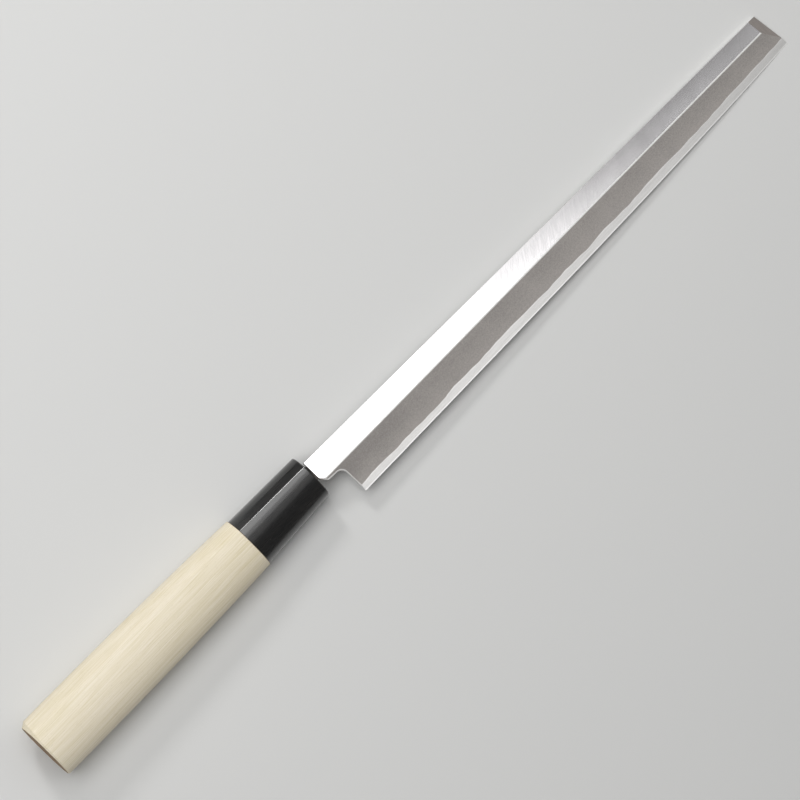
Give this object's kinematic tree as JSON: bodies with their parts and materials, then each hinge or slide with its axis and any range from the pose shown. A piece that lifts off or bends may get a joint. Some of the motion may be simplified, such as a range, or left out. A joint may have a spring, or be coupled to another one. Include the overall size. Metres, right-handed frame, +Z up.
{
  "type": "takohiki knife",
  "caption": "Long square-tipped slicing knife with a one-sided bevel, hollow back, layered edge, black horn ferrule and plain wooden handle of oval section with a finger ridge.",
  "frame": {"origin": "on the table, below the middle of the box around the knife as it lies bevelled side up on its handle and tip", "axes": "+X from the butt of the handle to the tip of the blade, +Y from the edge to the spine, +Z up out of the bevelled side"},
  "size_m": [0.398, 0.0328, 0.0237],
  "materials": {
    "iron": "matte stone-ground bevel with a bright polished flat and spine",
    "steel": "satin strip along the edge, ground and polished hollow back",
    "horn": "glossy polished black horn",
    "magnolia": "bare sanded pale wood with fine straight grain"
  },
  "bodies": {
    "root": {"blade_iron": "iron", "blade_steel": "steel", "ferrule": "horn", "handle": "magnolia"}
  },
  "joints": []
}
